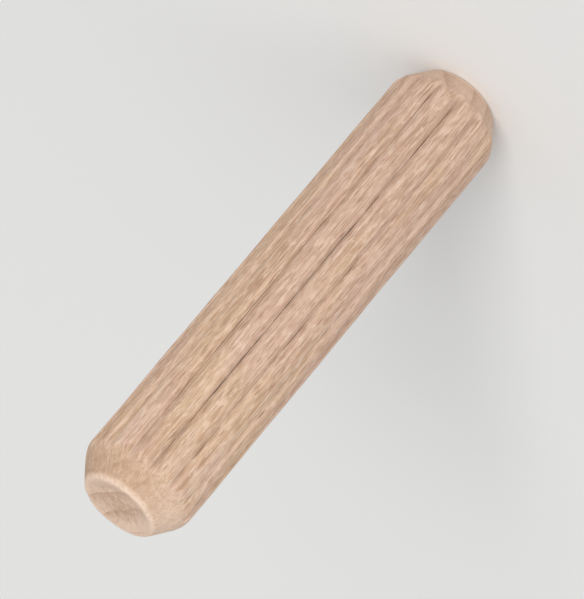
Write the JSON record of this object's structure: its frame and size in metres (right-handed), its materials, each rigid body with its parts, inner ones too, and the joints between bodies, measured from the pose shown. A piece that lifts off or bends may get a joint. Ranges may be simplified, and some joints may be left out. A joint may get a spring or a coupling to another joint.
{
  "type": "fluted dowel pin",
  "caption": "Short round hardwood dowel pin with straight pressed flutes along its length and tapered flat ends, for gluing two boards together.",
  "frame": {"origin": "centre of the lower flat end face, which the pin stands on", "axes": "+Z along the pin's axis, from the lower end to the upper end; one of the flutes faces -Y"},
  "size_m": [0.0064, 0.0064, 0.0302],
  "materials": {
    "hardwood": "bare, smooth lands with fine grain, rougher end grain"
  },
  "bodies": {
    "root": {"dowel_pin": "hardwood"}
  },
  "joints": []
}
